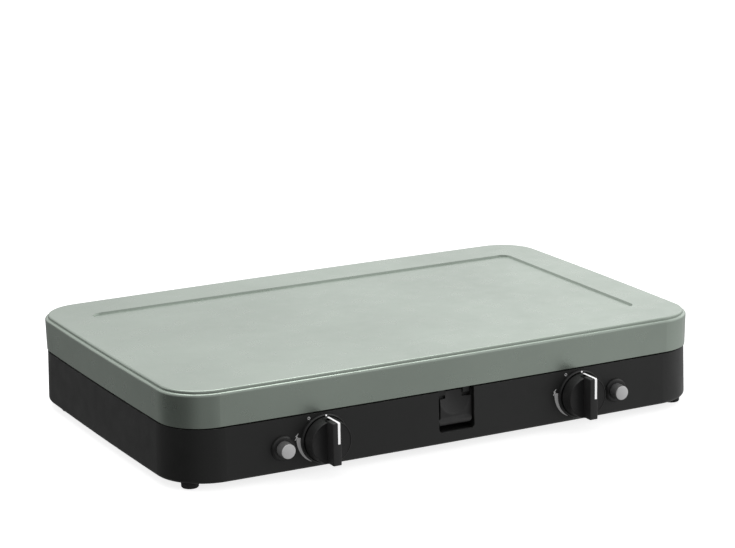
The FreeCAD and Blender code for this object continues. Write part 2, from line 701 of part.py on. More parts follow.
def knuckle(x0, x1, bore):
    outer = rod(KNUCKLE_RADIUS, (x0, HINGE_Y, HINGE_Z), (x1, HINGE_Y, HINGE_Z))
    hole = rod(bore, (x0 - 1, HINGE_Y, HINGE_Z), (x1 + 1, HINGE_Y, HINGE_Z))
    return outer, hole


def hinge_base_leaf(side):
    """Leaf on the tub with the two outer knuckles."""
    x = side * HINGE_X
    half = HINGE_WIDTH / 2
    plate = box(x - half, x + half, 166, 173.6, 34, 53.0)
    parts = [plate]
    holes = []
    for x0, x1 in [(x - half, x - 8.5), (x + 8.5, x + half)]:
        web = box(x0, x1, 171.6, HINGE_Y, 48.5, 53.0)
        outer, hole = knuckle(x0, x1, HINGE_PIN_RADIUS)
        parts += [web, outer]
        holes.append(hole)
    relief = rod(KNUCKLE_RADIUS + 0.6, (x - 8.5, HINGE_Y, HINGE_Z), (x + 8.5, HINGE_Y, HINGE_Z))
    screws = [rod_y(x + sx * 15, 41.0, 1.6, 160, 180) for sx in (-1, 1)]
    return joined(parts).cut(holes + screws + [relief, tub_outer()])


def hinge_lid_leaf(side):
    """Leaf on the lid with the middle knuckle."""
    x = side * HINGE_X
    half = HINGE_WIDTH / 2
    plate = box(x - half, x + half, 164, 172.6, 61.5, 76)
    web = box(x - 8, x + 8, 166, HINGE_Y, 56.0, 63.0)
    outer, hole = knuckle(x - 8, x + 8, HINGE_PIN_RADIUS + RUNNING_GAP)
    cut = [hole, lid_outer(), box(x - 9, x + 9, 160, 171.2, 50, 61.5)]
    cut += [rod_y(x + sx * 15, 69.0, 1.6, 160, 180) for sx in (-1, 1)]
    return joined([plate, web, outer]).cut(cut)


def hinge_pin(side):
    x = side * HINGE_X
    half = HINGE_WIDTH / 2
    shaft = rod(HINGE_PIN_RADIUS, (x - half, HINGE_Y, HINGE_Z), (x + half, HINGE_Y, HINGE_Z))
    head = rod(3.2, (x + half, HINGE_Y, HINGE_Z), (x + half + 1.4, HINGE_Y, HINGE_Z))
    return joined([shaft, head])


def hinge_rivets(z, y_in, y_out):
    rivets = []
    for sx in (-1, 1):
        for offset in (-15, 15):
            x = sx * HINGE_X + offset
            shank = rod_y(x, z, 1.6, y_in, y_out)
            outer_head = Part.makeSphere(3.4, V(x, y_out - 1.6, z)).common(rod_y(x, z, 3.0, y_out, y_out + 5))
            rivets.append(joined([shank, outer_head]))
    return rivets


def make_nodes():
    rivet_holes = [rod_y(sx * HINGE_X + dx, 41.0, 1.6, 160, 180) for sx in (-1, 1) for dx in (-15, 15)]
    lid_holes = [rod_y(sx * HINGE_X + dx, 69.0, 1.6, 160, 180) for sx in (-1, 1) for dx in (-15, 15)]
    nodes = {
        "base_tub": base_tub().cut(rivet_holes),
        "hob_plate": hob_plate(),
        "foot_screws": foot_screws(),
        "lid_pads": lid_pads(),
        "hob_screws": hob_screws(),
        "gas_manifold": gas_manifold(),
        "hose_nozzle": hose_nozzle(),
        "inlet_nut": inlet_nut(),
        "latch_housing": latch_housing(),
        "latch_pin": latch_pin(),
        "latch_lever": latch_lever(),
        "latch_spring": latch_spring(),
        "lid_shell": lid_shell().cut(lid_holes),
        "lid_catch": lid_catch(),
        "base_rivets": Part.makeCompound(hinge_rivets(41.0, 166.5, 173.6)),
        "lid_rivets": Part.makeCompound(hinge_rivets(69.0, 164.0, 172.6)),
        "feet": Part.makeCompound([foot(x, y) for x, y in foot_places()]),
    }
    for maker in (valve_nut, igniter_nut, hinge_pin, injector):
        nodes[maker.__name__ + "s"] = Part.makeCompound([maker(side) for side in SIDES.values()])
    nodes["burner_screws"] = Part.makeCompound([s for side in SIDES.values() for s in burner_screws(side)])
    makers = [pan_support, burner_base, burner_head, burner_cap, spark_insulator, spark_electrode,
              thermocouple, valve_body, valve_plunger, valve_stem, mixing_tube, ignition_lead, knob,
              knob_bezel, igniter_body, igniter_collar, igniter_button, hinge_base_leaf, hinge_lid_leaf]
    for name in ("left", "right"):
        for maker in makers:
            nodes[maker.__name__ + "_" + name] = maker(SIDES[name])
    return nodes


def main():
    os.makedirs("parts", exist_ok=True)
    for name, shape in make_nodes().items():
        shape.exportStep("parts/" + name + ".step")
        print(name, len(shape.Solids), round(shape.Volume), shape.isValid())


main()
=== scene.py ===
import json
from math import cos, pi, radians, sin

import bmesh
import bpy
from mathutils import Matrix, Vector


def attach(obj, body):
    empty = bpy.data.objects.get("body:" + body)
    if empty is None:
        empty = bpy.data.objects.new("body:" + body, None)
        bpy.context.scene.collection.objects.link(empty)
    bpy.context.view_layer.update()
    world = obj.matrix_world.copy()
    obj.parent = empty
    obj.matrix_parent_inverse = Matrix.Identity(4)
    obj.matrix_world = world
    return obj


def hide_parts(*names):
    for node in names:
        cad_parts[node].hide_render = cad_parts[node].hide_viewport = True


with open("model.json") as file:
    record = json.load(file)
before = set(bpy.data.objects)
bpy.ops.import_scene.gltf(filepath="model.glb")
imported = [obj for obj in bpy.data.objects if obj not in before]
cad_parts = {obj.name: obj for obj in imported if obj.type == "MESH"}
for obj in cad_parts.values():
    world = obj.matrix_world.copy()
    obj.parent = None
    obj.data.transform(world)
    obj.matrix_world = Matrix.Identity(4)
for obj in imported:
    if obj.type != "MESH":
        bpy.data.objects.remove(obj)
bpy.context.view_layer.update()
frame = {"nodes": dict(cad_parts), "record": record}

MM = 0.001
SIDES = {"left": -1, "right": 1}

# Places and sizes of the front's parts, in millimetres.
FRONT_Y = -171.6
KNOB_X = 131.0
KNOB_Z = 31.3
GRIP_TOP = 20.2
GRIP_BOTTOM = 18.4
GRIP_OUT = 25.9
GRIP_HALF = 4.2
GRIP_ROUND = 0.9
STRIPE_EDGES = (0.75, 2.95)
HEAT_RADIUS = 22.75
HEAT_START = 171.0           # degrees
HEAT_SWEEP = 66.0
BUTTON_X = 170.7
BUTTON_Z = 28.4
LATCH_X = 1.8
LEVER_HALF = 17.3
LEVER_NARROW = 14.6
LEVER_FACE = -168.8
NOTCH_FACE = -164.0
NOTCH_INNER = 8.4
NOTCH_OUTER = 16.8
NOTCH_FOOT = 46.4
PIN_Y = -159.0
PIN_Z = 45.5
SILL_Z = 16.7

# Outlines of turned pieces: (radius, distance out of the front).
KNOB_SHELL = [(0, 15.0), (17.7, 15.0), (18.2, 15.15), (18.5, 15.5), (18.75, 15.6), (19.05, 15.5),
              (19.25, 15.2), (19.35, 14.6), (20.2, 5.8), (20.3, 5.0), (20.3, 4.0), (20.1, 3.7),
              (17.4, 3.7), (17.0, 4.1), (17.0, 9.7), (0, 9.7)]
INDEX_DOT = [(0, 3.0), (0.8, 3.0), (0.8, 3.42), (0.7, 3.5), (0, 3.5)]
BUTTON_BARREL = [(0, -15.0), (7.2, -15.0), (7.2, 2.0), (6.75, 10.6), (6.6, 10.9), (0, 10.9)]
BUTTON_CAP = [(0, 10.9), (6.5, 10.9), (6.55, 11.2), (6.3, 11.65), (5.9, 11.8), (0, 11.8)]

# Tables of (place, value) that between() reads.
LIP = [(22.6, 1.2), (23.1, 2.2), (23.8, 2.8), (24.6, 3.0), (25.5, 2.85), (26.5, 2.3), (27.5, 1.4),
       (28.5, 0.5), (29.5, 0.0)]
LEVER_FOOT = [(12.0, 22.6), (13.5, 23.0), (15.0, 24.4), (16.2, 26.6), (17.3, 30.0)]
LEVER_LEFT = [(27.6, -LEVER_HALF), (29.0, -LEVER_NARROW)]

# The camera, fitted to the stove's outline: angles in degrees, lengths in metres, the lens in mm.
CAMERA_YAW = -27.6
CAMERA_PITCH = 14.12
CAMERA_ROLL = -0.93
CAMERA_DISTANCE = 2.459
CAMERA_OFFSET = (-0.0025, -0.0722)
CAMERA_LENS = 126.9          # on a 36 mm wide sensor
AIM_HEIGHT = 0.050

# Studio light: radiance of the surroundings by direction.
SKY_FRONT = 0.30
SKY_BACK = 0.75
LOW_LEFT = 0.20
LOW_RIGHT = 0.58
FLAG_LIGHT = 0.01
TOP_WATTS = 25.0
FILL_WATTS = 15.0
LEFT_WATTS = 13.0
FLOOR_GLOW = 0.80
FLOOR_REACH = 25.0


# Node helpers ---------------------------------------------------------------------------------

class Graph:
    """A small helper for building one node material."""

    def __init__(self, name):
        self.material = bpy.data.materials.new(name)
        self.material.use_nodes = True
        self.nodes = self.material.node_tree.nodes
        self.links = self.material.node_tree.links
        self.shader = self.nodes["Principled BSDF"]
        self.coordinates = self.nodes.new("ShaderNodeTexCoord").outputs["Object"]

    def link(self, source, target):
        self.links.new(source, target)

    def noise(self, scale, detail=2.0, roughness=0.5, stretch=None):
        node = self.nodes.new("ShaderNodeTexNoise")
        node.inputs["Scale"].default_value = scale
        node.inputs["Detail"].default_value = detail
        node.inputs["Roughness"].default_value = roughness
        source = self.coordinates
        if stretch:
            mapping = self.nodes.new("ShaderNodeMapping")
            mapping.inputs["Scale"].default_value = stretch
            self.link(source, mapping.inputs["Vector"])
            source = mapping.outputs["Vector"]
        self.link(source, node.inputs["Vector"])
        return node.outputs["Fac"]

    def cells(self, scale):
        node = self.nodes.new("ShaderNodeTexVoronoi")
        node.inputs["Scale"].default_value = scale
        self.link(self.coordinates, node.inputs["Vector"])
        return node

    def spread(self, value, low, high, start=0.0, end=1.0):
        node = self.nodes.new("ShaderNodeMapRange")
        node.inputs["From Min"].default_value = low
        node.inputs["From Max"].default_value = high
        node.inputs["To Min"].default_value = start
        node.inputs["To Max"].default_value = end
        self.link(value, node.inputs["Value"])
        return node.outputs["Result"]

    def math(self, kind, first, second):
        node = self.nodes.new("ShaderNodeMath")
        node.operation = kind
        for socket, value in zip(node.inputs, (first, second)):
            if isinstance(value, (int, float)):
                socket.default_value = value
            else:
                self.link(value, socket)
        return node.outputs["Value"]

    def mix(self, factor, first, second):
        node = self.nodes.new("ShaderNodeMix")
        node.data_type = "RGBA"
        self.link(factor, node.inputs["Factor"])
        for socket, value in ((node.inputs["A"], first), (node.inputs["B"], second)):
            if isinstance(value, tuple):
                socket.default_value = (*value, 1.0)
            else:
                self.link(value, socket)
        return node.outputs["Result"]

    def bump(self, height, distance, strength=1.0, after=None):
        node = self.nodes.new("ShaderNodeBump")
        node.inputs["Distance"].default_value = distance
        node.inputs["Strength"].default_value = strength
        self.link(height, node.inputs["Height"])
        if after:
            self.link(after, node.inputs["Normal"])
        return node.outputs["Normal"]

    def edges(self, radius, low=0.02, high=0.25):
        """1 along sharp outer edges, 0 elsewhere."""
        bevel = self.nodes.new("ShaderNodeBevel")
        bevel.samples = 4
        bevel.inputs["Radius"].default_value = radius
        geometry = self.nodes.new("ShaderNodeNewGeometry")
        dot = self.nodes.new("ShaderNodeVectorMath")
        dot.operation = "DOT_PRODUCT"
        self.link(bevel.outputs["Normal"], dot.inputs[0])
        self.link(geometry.outputs["Normal"], dot.inputs[1])
        away = self.math("SUBTRACT", 1.0, dot.outputs["Value"])
        return self.spread(away, low, high)

    def finish(self, colour=None, roughness=None, normal=None, **constants):
        if colour is not None:
            if isinstance(colour, tuple):
                self.shader.inputs["Base Color"].default_value = (*colour, 1.0)
            else:
                self.link(colour, self.shader.inputs["Base Color"])
        if roughness is not None:
            if isinstance(roughness, float):
                self.shader.inputs["Roughness"].default_value = roughness
            else:
                self.link(roughness, self.shader.inputs["Roughness"])
        if normal is not None:
            self.link(normal, self.shader.inputs["Normal"])
        for name, value in constants.items():
            self.shader.inputs[name.replace("_", " ")].default_value = value
        return self.material


def tinted(colour, factor):
    return tuple(min(1.0, part * factor) for part in colour)


# Materials ------------------------------------------------------------------------------------

def powder_coat(name, colour, rough=(0.36, 0.48), peel=0.00004, chip=None, coat=0.0, metallic=0.0):
    """Sprayed and baked coat: orange peel, faint speckle, cloudy tone, rubbed edges."""
    g = Graph(name)
    cloud = g.noise(9.0, 3.0)
    speckle = g.noise(2600.0, 1.0)
    tone = g.mix(g.spread(cloud, 0.35, 0.65), tinted(colour, 0.95), tinted(colour, 1.05))
    tone = g.mix(g.spread(speckle, 0.60, 0.74, 0.0, 0.35), tone, tinted(colour, 1.35))
    if chip:
        worn = g.math("MULTIPLY", g.edges(0.0008), g.spread(g.noise(180.0, 4.0), 0.50, 0.62))
        tone = g.mix(worn, tone, chip)
    shine = g.spread(g.noise(60.0, 4.0), 0.3, 0.7, *rough)
    large = g.bump(g.noise(420.0, 2.0), peel)
    fine = g.bump(g.noise(1900.0, 2.0), peel * 0.35, 1.0, large)
    return g.finish(tone, shine, fine, Coat_Weight=coat, Coat_Roughness=0.25, Metallic=metallic)


def moulded_plastic(name, colour, rough=(0.42, 0.55), grain=0.00003, grain_scale=2400.0):
    """Spark-eroded mould grain with slightly polished edges."""
    g = Graph(name)
    tone = g.mix(g.noise(25.0, 3.0), tinted(colour, 0.88), tinted(colour, 1.14))
    rubbed = g.edges(0.0007)
    tone = g.mix(g.math("MULTIPLY", rubbed, 0.35), tone, tinted(colour, 2.2))
    dull = g.spread(g.noise(90.0, 3.0), 0.3, 0.7, *rough)
    shine = g.math("SUBTRACT", dull, g.math("MULTIPLY", rubbed, 0.12))
    normal = g.bump(g.cells(grain_scale).outputs["Distance"], grain)
    return g.finish(tone, shine, normal)


def rubber(name, colour):
    g = Graph(name)
    dust = g.spread(g.noise(300.0, 5.0), 0.50, 0.75, 0.0, 0.5)
    tone = g.mix(dust, colour, tinted(colour, 2.6))
    normal = g.bump(g.noise(1500.0, 3.0), 0.00006)
    return g.finish(tone, g.spread(g.noise(120.0), 0.3, 0.7, 0.72, 0.92), normal)


def turned_metal(name, colour, rough=(0.22, 0.38), lines=(0.00001, 1800.0)):
    """Machined or drawn metal with fine tool marks and faint tarnish."""
    g = Graph(name)
    stain = g.spread(g.noise(70.0, 5.0), 0.40, 0.75)
    tone = g.mix(stain, colour, tinted(colour, 0.72))
    depth, scale = lines
    marks = g.noise(scale, 1.0, 0.5, (0.12, 1.0, 1.0))
    normal = g.bump(marks, depth)
    return g.finish(tone, g.spread(stain, 0.0, 1.0, *rough), normal, Metallic=1.0)


def zinc_plate(name, colour):
    """Zinc-plated steel: cloudy crystals and small dents."""
    g = Graph(name)
    crystals = g.cells(520.0).outputs["Color"]
    grey = g.nodes.new("ShaderNodeRGBToBW")
    g.link(crystals, grey.inputs["Color"])
    tone = g.mix(grey.outputs["Val"], tinted(colour, 0.82), tinted(colour, 1.08))
    shine = g.spread(grey.outputs["Val"], 0.0, 1.0, 0.26, 0.44)
    return g.finish(tone, shine, g.bump(g.noise(700.0, 3.0), 0.00002), Metallic=1.0)


def cast_metal(name, colour):
    g = Graph(name)
    skin = g.noise(900.0, 5.0, 0.6)
    soot = g.spread(g.noise(45.0, 4.0), 0.52, 0.72, 0.0, 0.6)
    tone = g.mix(soot, colour, tinted(colour, 0.35))
    return g.finish(tone, g.spread(skin, 0.3, 0.7, 0.5, 0.75), g.bump(skin, 0.00012), Metallic=0.85)


def hot_steel(name, colour):
    """Burner steel that heat has turned straw, brown and blue."""
    g = Graph(name)
    heat = g.spread(g.noise(38.0, 3.0), 0.36, 0.66)
    tone = g.mix(heat, colour, (0.42, 0.27, 0.15))
    tone = g.mix(g.spread(g.noise(52.0, 2.0), 0.55, 0.75, 0.0, 0.6), tone, (0.17, 0.20, 0.34))
    return g.finish(tone, g.spread(g.noise(150.0, 3.0), 0.3, 0.7, 0.32, 0.52),
                    g.bump(g.noise(1200.0, 2.0), 0.00002), Metallic=1.0)


def enamel(name, colour, rough=(0.16, 0.30)):
    """Glassy enamel with a slow ripple, pin holes and dull spots."""
    g = Graph(name)
    specks = g.spread(g.cells(900.0).outputs["Distance"], 0.0, 0.09, 1.0, 0.0)
    cloudy = g.mix(g.noise(20.0), colour, tinted(colour, 1.3))
    tone = g.mix(g.math("MULTIPLY", specks, 0.5), cloudy, (0.16, 0.16, 0.16))
    shine = g.spread(g.noise(70.0, 4.0), 0.35, 0.7, *rough)
    ripple = g.bump(g.noise(240.0, 2.0), 0.00008)
    return g.finish(tone, shine, ripple, Coat_Weight=0.3, Coat_Roughness=0.1)


def glazed_ceramic(name, colour):
    g = Graph(name)
    tone = g.mix(g.spread(g.noise(600.0, 2.0), 0.62, 0.75), colour, tinted(colour, 0.7))
    shine = g.spread(g.noise(200.0), 0.3, 0.7, 0.12, 0.25)
    return g.finish(tone, shine, g.bump(g.noise(400.0), 0.00004))


def print_ink(name, colour, painted_glow=0.0):
    """Pad-printed ink, slightly uneven; the emission strength given is painted light, which makes
    the ink shine though it is no lamp.
    """
    g = Graph(name)
    g.shader.inputs["Emission Color"].default_value = (1.0, 1.0, 1.0, 1.0)
    g.shader.inputs["Emission Strength"].default_value = painted_glow
    tone = g.mix(g.spread(g.noise(1600.0, 3.0), 0.55, 0.8, 0.0, 0.7), colour, tinted(colour, 0.75))
    shine = g.spread(g.noise(500.0), 0.3, 0.7, 0.4, 0.6)
    return g.finish(tone, shine, g.bump(g.noise(2500.0), 0.00001))


SAGE = (0.40, 0.46, 0.405)
CHARCOAL = (0.018, 0.0185, 0.018)
JET = (0.026, 0.026, 0.026)
BARE_EDGE = (0.11, 0.11, 0.11)

FINISHES = {
    "black_coat": powder_coat("black_powder_coat", CHARCOAL, (0.40, 0.52), 0.00005, BARE_EDGE),
    "green_coat": powder_coat("sage_powder_coat", SAGE, (0.26, 0.34), 0.00002, metallic=0.75),
    "hob_enamel": enamel("hob_enamel", (0.014, 0.014, 0.015)),
    "knob_plastic": moulded_plastic("knob_plastic", JET),
    "bezel_plastic": moulded_plastic("bezel_plastic", JET, (0.28, 0.40), 0.00001),
    "button_grey": moulded_plastic("button_grey", (0.72, 0.72, 0.72), (0.40, 0.55)),
    "rubber": rubber("foot_rubber", (0.018, 0.018, 0.018)),
    "lead_cover": rubber("lead_silicone", (0.30, 0.045, 0.030)),
    "zinc_steel": zinc_plate("zinc_steel", (0.60, 0.60, 0.61)),
    "brass": turned_metal("brass", (0.72, 0.53, 0.25)),
    "copper_probe": turned_metal("copper", (0.75, 0.40, 0.25)),
    "cast_alloy": cast_metal("cast_alloy", (0.52, 0.52, 0.53)),
    "burner_steel": hot_steel("burner_steel", (0.50, 0.48, 0.46)),
    "cap_enamel": enamel("cap_enamel", (0.018, 0.018, 0.018), (0.35, 0.55)),
    "insulator": glazed_ceramic("insulator", (0.86, 0.84, 0.78)),
}

# These inks carry painted light: an emission, strong in the white ink and faint in the pale and
# grey inks.
WHITE_INK_PAINTED_GLOW = print_ink("white_ink_painted_glow", (0.88, 0.88, 0.88), 0.42)
PALE_INK_PAINTED_GLOW = print_ink("pale_ink_painted_glow", (0.75, 0.75, 0.75), 0.05)
GREY_INK_PAINTED_GLOW = print_ink("grey_ink_painted_glow", (0.62, 0.62, 0.62), 0.04)
# A darker copy of the button's grey, for the barrel: painted shade on the side of the button.
BUTTON_SIDE_PAINTED_SHADE = moulded_plastic("button_side_painted_shade", (0.17, 0.17, 0.17), (0.30, 0.45))


def paint_cad_nodes():
    for entry in frame["record"]["subparts"]:
        node = frame["nodes"][entry["node"]]
        for place in node.material_slots:
            place.material = FINISHES[entry["material_slot"]]


# Pieces modelled here, in millimetres -----------------------------------------------------------

def add_piece(name, body, slot, corners, faces, finish=None):
    """One closed mesh piece that rides on a body of the frame."""
    mesh = bpy.data.meshes.new(name)
    mesh.from_pydata([Vector(corner) * MM for corner in corners], [], faces)
    form = bmesh.new()
    form.from_mesh(mesh)
    bmesh.ops.remove_doubles(form, verts=form.verts, dist=1e-7)
    bmesh.ops.recalc_face_normals(form, faces=form.faces)
    form.to_mesh(mesh)
    form.free()
    mesh.shade_smooth()
    mesh.set_sharp_from_angle(angle=radians(28))
    mesh.materials.append(finish or FINISHES[slot])
    piece = bpy.data.objects.new(name, mesh)
    bpy.context.scene.collection.objects.link(piece)
    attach(piece, body)
    return piece


def spun(profile, x, z, steps=96):
    """Turns (radius, distance out of the front) about an axis square to the front."""
    corners = []
    faces = []
    count = len(profile)
    for step in range(steps):
        turn = 2 * pi * step / steps
        corners += [(x + r * cos(turn), FRONT_Y - out, z + r * sin(turn)) for r, out in profile]
        here, there = step * count, (step + 1) % steps * count
        faces += [(here + i, here + i + 1, there + i + 1, there + i) for i in range(count - 1)]
    return corners, faces


def rounded_bar(x0, x1, z0, z1, out0, out1, radius, steps=4):
    """A bar standing out of the front, with rounded sides and front edges."""
    layers = [(out0, 0.0)]
    for step in range(steps + 1):
        turn = pi / 2 * step / steps
        layers.append((out1 - radius + radius * sin(turn), radius - radius * cos(turn)))
    corners = []
    for out, inset in layers:
        for cx, cz, start in ((x1, z1, 0.0), (x0, z1, 90.0), (x0, z0, 180.0), (x1, z0, 270.0)):
            middle_x = cx - radius if cx == x1 else cx + radius
            middle_z = cz - radius if cz == z1 else cz + radius
            for step in range(steps + 1):
                turn = radians(start + 90.0 * step / steps)
                reach = radius - inset
                spot = (middle_x + reach * cos(turn), FRONT_Y - out, middle_z + reach * sin(turn))
                corners.append(spot)
    ring = 4 * (steps + 1)
    faces = [tuple(range(ring)), tuple(range(len(corners) - ring, len(corners)))]
    for layer in range(len(layers) - 1):
        for i in range(ring):
            here, after = layer * ring + i, layer * ring + (i + 1) % ring
            faces.append((here, after, after + ring, here + ring))
    return corners, faces


def add_knob(side, sign):
    x = sign * KNOB_X
    body = "knob_" + side
    piece = add_piece("knob_shell_" + side, body, "knob_plastic", *spun(KNOB_SHELL, x, KNOB_Z))
    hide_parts("knob_" + side)
    sides = (x - GRIP_HALF, x + GRIP_HALF)
    bar = rounded_bar(*sides, KNOB_Z - GRIP_BOTTOM, KNOB_Z + GRIP_TOP, 9.8, GRIP_OUT, GRIP_ROUND)
    add_piece("knob_grip_" + side, body, "knob_plastic", *bar)
    spine = rounded_bar(*sides, KNOB_Z + 15.5, KNOB_Z + GRIP_TOP, 4.3, 16.0, GRIP_ROUND)
    add_piece("knob_spine_" + side, body, "knob_plastic", *spine)
    stripe = add_piece("knob_pointer_" + side, body, "knob_plastic", *pointer_stripe(x), WHITE_INK_PAINTED_GLOW)
    stripe.visible_glossy = False


def pointer_stripe(x):
    """Painted stripe: along the top of the grip, round its front edge and down to the middle."""
    path = [(4.9, GRIP_TOP, 0.0, 1.0)]
    for step in range(7):
        turn = pi / 2 * step / 6
        out = GRIP_OUT - GRIP_ROUND + GRIP_ROUND * sin(turn)
        up = GRIP_TOP - GRIP_ROUND + GRIP_ROUND * cos(turn)
        path.append((out, up, sin(turn), cos(turn)))
    path.append((GRIP_OUT, 1.0, 1.0, 0.0))
    corners = []
    for out, up, face, top in path:
        for edge in STRIPE_EDGES:
            for lift in (-0.25, 0.07):
                corners.append((x + edge, FRONT_Y - out - lift * face, KNOB_Z + up + lift * top))
    faces = [(0, 1, 3, 2), tuple(len(corners) - 4 + i for i in (0, 1, 3, 2))]
    for step in range(len(path) - 1):
        base = step * 4
        for a, b in ((0, 1), (1, 3), (3, 2), (2, 0)):
            faces.append((base + a, base + b, base + 4 + b, base + 4 + a))
    return corners, faces


def front_surface(x, z):
    """Where the front of the tub lies, found on the CAD mesh."""
    tub = frame["nodes"]["base_tub"]
    hit, place, _, _ = tub.ray_cast(Vector((x * MM, -0.3, z * MM)), Vector((0, 1, 0)))
    return place.y / MM if hit else FRONT_Y


def add_print(name, outlines, finish, proud=0.06):
    """Flat ink on the front of the tub; each outline is a strip of paired points."""
    corners = []
    faces = []
    for pairs in outlines:
        first = len(corners)
        for pair in pairs:
            for x, z in pair:
                y = front_surface(x, z)
                corners += [(x, y - proud, z), (x, y + 0.2, z)]
        if pairs[0] != pairs[-1]:
            last = first + (len(pairs) - 1) * 4
            faces += [(end, end + 1, end + 3, end + 2) for end in (first, last)]
        for step in range(len(pairs) - 1):
            base = first + step * 4
            for a, b in ((0, 2), (2, 3), (3, 1), (1, 0)):
                faces.append((base + a, base + b, base + 4 + b, base + 4 + a))
    return add_piece(name, "base", "black_coat", corners, faces, finish)


def ring_pairs(x, z, inner, outer, steps=28):
    """A closed ring, whose last pair is its first."""
    turns = [2 * pi * step / steps for step in range(steps)] + [0.0]
    return [[(x + r * cos(t), z + r * sin(t)) for r in (inner, outer)] for t in turns]


def crescent_pairs(x, z, steps=40):
    """A heat mark that tapers anticlockwise round the bezel."""
    pairs = []
    for step in range(steps + 1):
        share = step / steps
        turn = radians(HEAT_START + HEAT_SWEEP * share)
        width = 3.9 * (1.0 - share) ** 0.8 * min(1.0, 0.72 + 6.0 * share) + 0.15
        radii = (HEAT_RADIUS, HEAT_RADIUS + width)
        pairs.append([(x + r * cos(turn), z + r * sin(turn)) for r in radii])
    return pairs


def spark_pairs(x, z):
    """A small zigzag, the usual sign for the lighting position."""
    spots = [((2.0, 2.9), (1.4, 2.9)), ((0.2, 0.5), (-1.3, 0.5)),
             ((1.3, -0.1), (-0.3, -0.1)), ((-1.4, -2.9), (-1.9, -2.9))]
    return [[(x + a, z + b) for a, b in pair] for pair in spots]


def add_marks(side, sign):
    x = sign * KNOB_X
    add_print("heat_mark_" + side, [crescent_pairs(x, KNOB_Z)], GREY_INK_PAINTED_GLOW)
    add_print("spark_mark_" + side, [spark_pairs(x - 26.3, KNOB_Z + 4.9)], PALE_INK_PAINTED_GLOW)
    add_print("off_mark_" + side, [ring_pairs(x - 14.0, KNOB_Z + 20.0, 0.85, 1.3)], PALE_INK_PAINTED_GLOW)
    dot = spun(INDEX_DOT, x + 1.0, KNOB_Z + 21.3, 24)
    spot = add_piece("index_dot_" + side, "base", "bezel_plastic", *dot, WHITE_INK_PAINTED_GLOW)
    spot.visible_glossy = False


def add_button(side, sign):
    x = sign * BUTTON_X
    body = "button_" + side
    barrel = spun(BUTTON_BARREL, x, BUTTON_Z)
    # The barrel takes the darker copy of the button's grey: painted shade on its side.
    piece = add_piece("button_barrel_" + side, body, "button_grey", *barrel, BUTTON_SIDE_PAINTED_SHADE)
    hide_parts("igniter_button_" + side)
    add_piece("button_cap_" + side, body, "button_grey", *spun(BUTTON_CAP, x, BUTTON_Z))


def between(value, table):
    """Reads a table of (place, value) pairs, with straight lines between them."""
    for (low, start), (high, end) in zip(table, table[1:]):
        if value <= high:
            return start + (end - start) * max(0.0, (value - low) / (high - low))
    return table[-1][1]


def lever_front(x, z):
    """The lever's face: a scoop for a finger, notches for the catch and a rolled lip."""
    if NOTCH_INNER < abs(x) < NOTCH_OUTER and z > NOTCH_FOOT:
        return NOTCH_FACE
    reach = (x / 16.6) ** 2 + ((z - 51.0) / 19.8) ** 2
    scoop = 3.1 * max(0.0, 1.0 - reach) ** 0.8
    return LEVER_FACE + scoop - between(z, LIP)


def lever_back(x, z):
    """The lever's back: the lever is thicker towards the top, and most so at its two sides."""
    return between(z, [(38.0, -164.8), (41.3, -162.4 if abs(x) < 7.2 else -161.8)])


def lever_grid():
    """Where the lever's mesh has its columns and rows; step is the width of a notch's wall."""
    step = 0.05
    across = [i * 0.5 for i in range(-34, 35)] + [-LEVER_HALF, LEVER_HALF]
    for sign in (-1, 1):
        across += [sign * (NOTCH_INNER + step), sign * (NOTCH_OUTER - step)]
        across += [sign * NOTCH_INNER, sign * NOTCH_OUTER]
    up = [22.6, 23.1] + [23.6 + i * 0.5 for i in range(59)] + [NOTCH_FOOT, NOTCH_FOOT + step, 53.0]
    return sorted(set(across)), sorted(set(up))


def add_latch():
    across, up = lever_grid()
    corners = []
    for surface in (lever_front, lever_back):
        for x in across:
            foot = between(x, LEVER_FOOT)
            for z in up:
                spot = (max(x, between(z, LEVER_LEFT)), max(z, foot))
                corners.append((LATCH_X + spot[0], surface(*spot), spot[1]))
    rows, half = len(up), len(across) * len(up)
    faces = []
    for i in range(len(across) - 1):
        for j in range(rows - 1):
            a, b = i * rows + j, (i + 1) * rows + j
            faces += [(a, b, b + 1, a + 1), (half + a, half + a + 1, half + b + 1, half + b)]
        for j in (0, rows - 1):
            a, b = i * rows + j, (i + 1) * rows + j
            faces.append((a, b, half + b, half + a))
    for i in (0, len(across) - 1):
        for j in range(rows - 1):
            a = i * rows + j
            faces.append((a, a + 1, half + a + 1, half + a))
    lever = add_piece("latch_face", "latch", "knob_plastic", corners, faces)
    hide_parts("latch_lever")
    for name, x0, x1 in (("left", -LEVER_NARROW, -8.0), ("right", 8.0, LEVER_HALF)):
        add_piece("latch_boss_" + name, "latch", "knob_plastic", *boss(LATCH_X + x0, LATCH_X + x1))
    add_piece("latch_sill", "base", "black_coat", *sill(LATCH_X - 14.4, LATCH_X + 14.4))


def sill(x0, x1, radius=0.6, steps=20):
    """The rolled lower edge of the latch opening."""
    corners = []
    for x in (x0, x1):
        for step in range(steps):
            turn = 2 * pi * step / steps
            corners.append((x, FRONT_Y + 0.25 + radius * cos(turn), SILL_Z + radius * sin(turn)))
    faces = [(i, (i + 1) % steps, steps + (i + 1) % steps, steps + i) for i in range(steps)]
    return corners, faces + [tuple(range(steps)), tuple(range(steps, 2 * steps))]


def boss(x0, x1, outer=3.1, inner=1.58, steps=32):
    """A tube of the lever round the latch pin."""
    corners = []
    faces = []
    for step in range(steps):
        turn = 2 * pi * step / steps
        for x, r in ((x0, inner), (x0, outer), (x1, outer), (x1, inner)):
            corners.append((x, PIN_Y + r * cos(turn), PIN_Z + r * sin(turn)))
        here, there = step * 4, (step + 1) % steps * 4
        for a, b in ((0, 1), (1, 2), (2, 3), (3, 0)):
            faces.append((here + a, here + b, there + b, there + a))
    return corners, faces


def add_details():
    add_latch()
    for side, sign in SIDES.items():
        add_knob(side, sign)
        add_marks(side, sign)
        add_button(side, sign)


# Stage ----------------------------------------------------------------------------------------

